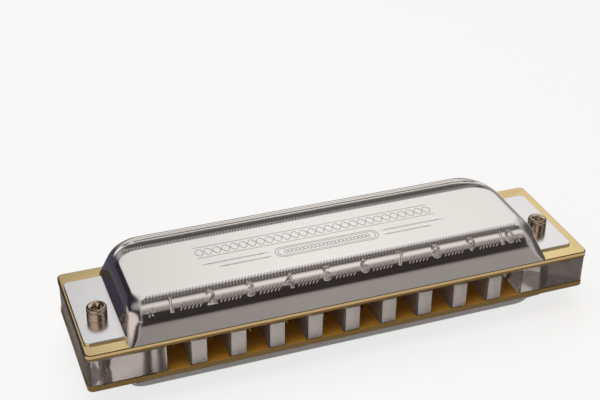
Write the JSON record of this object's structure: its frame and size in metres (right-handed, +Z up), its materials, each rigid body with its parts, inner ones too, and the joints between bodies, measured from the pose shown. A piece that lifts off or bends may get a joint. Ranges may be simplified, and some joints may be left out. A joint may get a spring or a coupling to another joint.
{
  "type": "harmonica",
  "caption": "Diatonic mouth organ with a clear comb, brass reed plates, hinged free reeds and steel covers held by screws.",
  "frame": {"origin": "middle of the footprint, on the plane of the lower cover's flat face", "axes": "+X along the row of holes from the low notes to the high ones, +Y from the mouth side to the open back, +Z up"},
  "size_m": [0.101, 0.0266, 0.0198],
  "materials": {
    "clear_acrylic": "polished clear acrylic",
    "plate_brass": "polished, pale yellow",
    "reed_brass": "satin",
    "rivet_brass": "satin",
    "screw_brass": "polished",
    "cover_steel": "polished stainless steel",
    "screw_steel": "bright nickel plated"
  },
  "bodies": {
    "harmonica_body": {"comb": "clear_acrylic", "upper_reed_plate": "plate_brass", "lower_reed_plate": "plate_brass", "upper_cover": "cover_steel", "lower_cover": "cover_steel", "cover_screw_left": "screw_steel", "cover_screw_right": "screw_steel", "cover_nut_left": "screw_steel", "cover_nut_right": "screw_steel", "reed_plate_screws": "screw_brass", "blow_reed_pads": "reed_brass", "draw_reed_pads": "reed_brass", "blow_reed_rivets": "rivet_brass", "draw_reed_rivets": "rivet_brass"},
    "blow_reed_1": {"blow_reed_1": "reed_brass"},
    "blow_reed_2": {"blow_reed_2": "reed_brass"},
    "blow_reed_3": {"blow_reed_3": "reed_brass"},
    "blow_reed_4": {"blow_reed_4": "reed_brass"},
    "blow_reed_5": {"blow_reed_5": "reed_brass"},
    "blow_reed_6": {"blow_reed_6": "reed_brass"},
    "blow_reed_7": {"blow_reed_7": "reed_brass"},
    "blow_reed_8": {"blow_reed_8": "reed_brass"},
    "blow_reed_9": {"blow_reed_9": "reed_brass"},
    "blow_reed_10": {"blow_reed_10": "reed_brass"},
    "draw_reed_1": {"draw_reed_1": "reed_brass"},
    "draw_reed_2": {"draw_reed_2": "reed_brass"},
    "draw_reed_3": {"draw_reed_3": "reed_brass"},
    "draw_reed_4": {"draw_reed_4": "reed_brass"},
    "draw_reed_5": {"draw_reed_5": "reed_brass"},
    "draw_reed_6": {"draw_reed_6": "reed_brass"},
    "draw_reed_7": {"draw_reed_7": "reed_brass"},
    "draw_reed_8": {"draw_reed_8": "reed_brass"},
    "draw_reed_9": {"draw_reed_9": "reed_brass"},
    "draw_reed_10": {"draw_reed_10": "reed_brass"}
  },
  "joints": [
    {"name": "blow_reed_1_swing", "type": "hinge", "parent": "harmonica_body", "child": "blow_reed_1", "pos_m": [-0.03375, -0.00835, 0.01265], "axis": [1, 0, 0], "range_deg": [-4, 4], "stiffness_Nm_per_rad": 0.01604},
    {"name": "blow_reed_2_swing", "type": "hinge", "parent": "harmonica_body", "child": "blow_reed_2", "pos_m": [-0.02625, -0.00835, 0.01265], "axis": [1, 0, 0], "range_deg": [-4, 4], "stiffness_Nm_per_rad": 0.02155},
    {"name": "blow_reed_3_swing", "type": "hinge", "parent": "harmonica_body", "child": "blow_reed_3", "pos_m": [-0.01875, -0.00835, 0.01265], "axis": [1, 0, 0], "range_deg": [-4, 4], "stiffness_Nm_per_rad": 0.02554},
    {"name": "blow_reed_4_swing", "type": "hinge", "parent": "harmonica_body", "child": "blow_reed_4", "pos_m": [-0.01125, -0.00835, 0.01265], "axis": [1, 0, 0], "range_deg": [-4, 4], "stiffness_Nm_per_rad": 0.03772},
    {"name": "blow_reed_5_swing", "type": "hinge", "parent": "harmonica_body", "child": "blow_reed_5", "pos_m": [-0.00375, -0.00835, 0.01265], "axis": [1, 0, 0], "range_deg": [-4, 4], "stiffness_Nm_per_rad": 0.049},
    {"name": "blow_reed_6_swing", "type": "hinge", "parent": "harmonica_body", "child": "blow_reed_6", "pos_m": [0.00375, -0.00835, 0.01265], "axis": [1, 0, 0], "range_deg": [-4, 4], "stiffness_Nm_per_rad": 0.0559},
    {"name": "blow_reed_7_swing", "type": "hinge", "parent": "harmonica_body", "child": "blow_reed_7", "pos_m": [0.01125, -0.00835, 0.01265], "axis": [1, 0, 0], "range_deg": [-4, 4], "stiffness_Nm_per_rad": 0.07903},
    {"name": "blow_reed_8_swing", "type": "hinge", "parent": "harmonica_body", "child": "blow_reed_8", "pos_m": [0.01875, -0.00835, 0.01265], "axis": [1, 0, 0], "range_deg": [-4, 4], "stiffness_Nm_per_rad": 0.09763},
    {"name": "blow_reed_9_swing", "type": "hinge", "parent": "harmonica_body", "child": "blow_reed_9", "pos_m": [0.02625, -0.00835, 0.01265], "axis": [1, 0, 0], "range_deg": [-4, 4], "stiffness_Nm_per_rad": 0.10503},
    {"name": "blow_reed_10_swing", "type": "hinge", "parent": "harmonica_body", "child": "blow_reed_10", "pos_m": [0.03375, -0.00835, 0.01265], "axis": [1, 0, 0], "range_deg": [-4, 4], "stiffness_Nm_per_rad": 0.13849},
    {"name": "draw_reed_1_swing", "type": "hinge", "parent": "harmonica_body", "child": "draw_reed_1", "pos_m": [-0.03375, 0.00865, 0.00565], "axis": [1, 0, 0], "range_deg": [-4, 4], "stiffness_Nm_per_rad": 0.02022},
    {"name": "draw_reed_2_swing", "type": "hinge", "parent": "harmonica_body", "child": "draw_reed_2", "pos_m": [-0.02625, 0.00781, 0.00565], "axis": [1, 0, 0], "range_deg": [-4, 4], "stiffness_Nm_per_rad": 0.03048},
    {"name": "draw_reed_3_swing", "type": "hinge", "parent": "harmonica_body", "child": "draw_reed_3", "pos_m": [-0.01875, 0.00696, 0.00565], "axis": [1, 0, 0], "range_deg": [-4, 4], "stiffness_Nm_per_rad": 0.04055},
    {"name": "draw_reed_4_swing", "type": "hinge", "parent": "harmonica_body", "child": "draw_reed_4", "pos_m": [-0.01125, 0.00612, 0.00565], "axis": [1, 0, 0], "range_deg": [-4, 4], "stiffness_Nm_per_rad": 0.04751},
    {"name": "draw_reed_5_swing", "type": "hinge", "parent": "harmonica_body", "child": "draw_reed_5", "pos_m": [-0.00375, 0.00527, 0.00565], "axis": [1, 0, 0], "range_deg": [-4, 4], "stiffness_Nm_per_rad": 0.055},
    {"name": "draw_reed_6_swing", "type": "hinge", "parent": "harmonica_body", "child": "draw_reed_6", "pos_m": [0.00375, 0.00443, 0.00565], "axis": [1, 0, 0], "range_deg": [-4, 4], "stiffness_Nm_per_rad": 0.07043},
    {"name": "draw_reed_7_swing", "type": "hinge", "parent": "harmonica_body", "child": "draw_reed_7", "pos_m": [0.01125, 0.00358, 0.00565], "axis": [1, 0, 0], "range_deg": [-4, 4], "stiffness_Nm_per_rad": 0.07041},
    {"name": "draw_reed_8_swing", "type": "hinge", "parent": "harmonica_body", "child": "draw_reed_8", "pos_m": [0.01875, 0.00274, 0.00565], "axis": [1, 0, 0], "range_deg": [-4, 4], "stiffness_Nm_per_rad": 0.07749},
    {"name": "draw_reed_9_swing", "type": "hinge", "parent": "harmonica_body", "child": "draw_reed_9", "pos_m": [0.02625, 0.00189, 0.00565], "axis": [1, 0, 0], "range_deg": [-4, 4], "stiffness_Nm_per_rad": 0.08336},
    {"name": "draw_reed_10_swing", "type": "hinge", "parent": "harmonica_body", "child": "draw_reed_10", "pos_m": [0.03375, 0.00105, 0.00565], "axis": [1, 0, 0], "range_deg": [-4, 4], "stiffness_Nm_per_rad": 0.09792}
  ]
}
